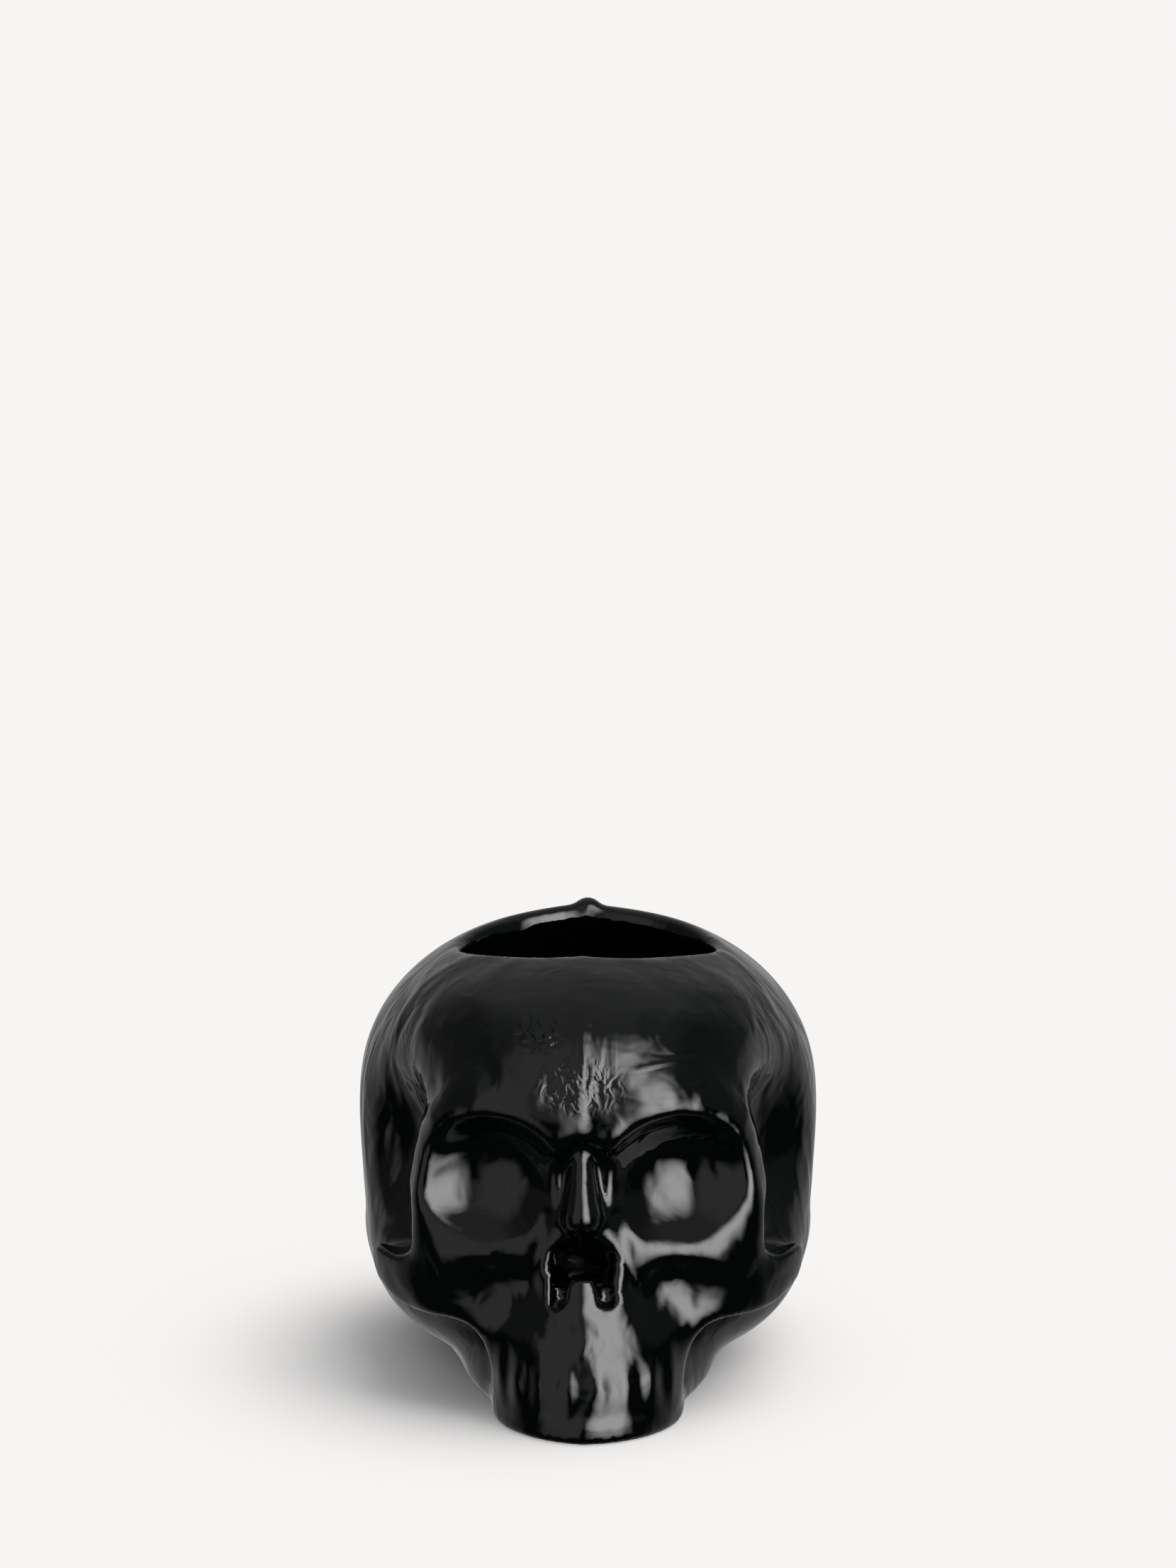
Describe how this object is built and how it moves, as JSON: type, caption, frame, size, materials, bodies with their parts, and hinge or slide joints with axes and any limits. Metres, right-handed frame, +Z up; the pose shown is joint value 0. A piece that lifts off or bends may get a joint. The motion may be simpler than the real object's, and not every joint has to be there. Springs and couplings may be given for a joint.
{
  "type": "skull candle holder",
  "caption": "Black pressed-glass candle holder shaped as a skull without its lower jaw, with a flat foot and an oval candle well open at the crown.",
  "frame": {"origin": "middle of the length and the width, on the surface that the foot stands on", "axes": "+Z up, -Y the way the face looks, +X to the right as seen from the front"},
  "size_m": [0.09, 0.115, 0.085],
  "materials": {
    "black_glass": "gloss"
  },
  "bodies": {
    "root": {"skull_body": "black_glass"}
  },
  "joints": []
}
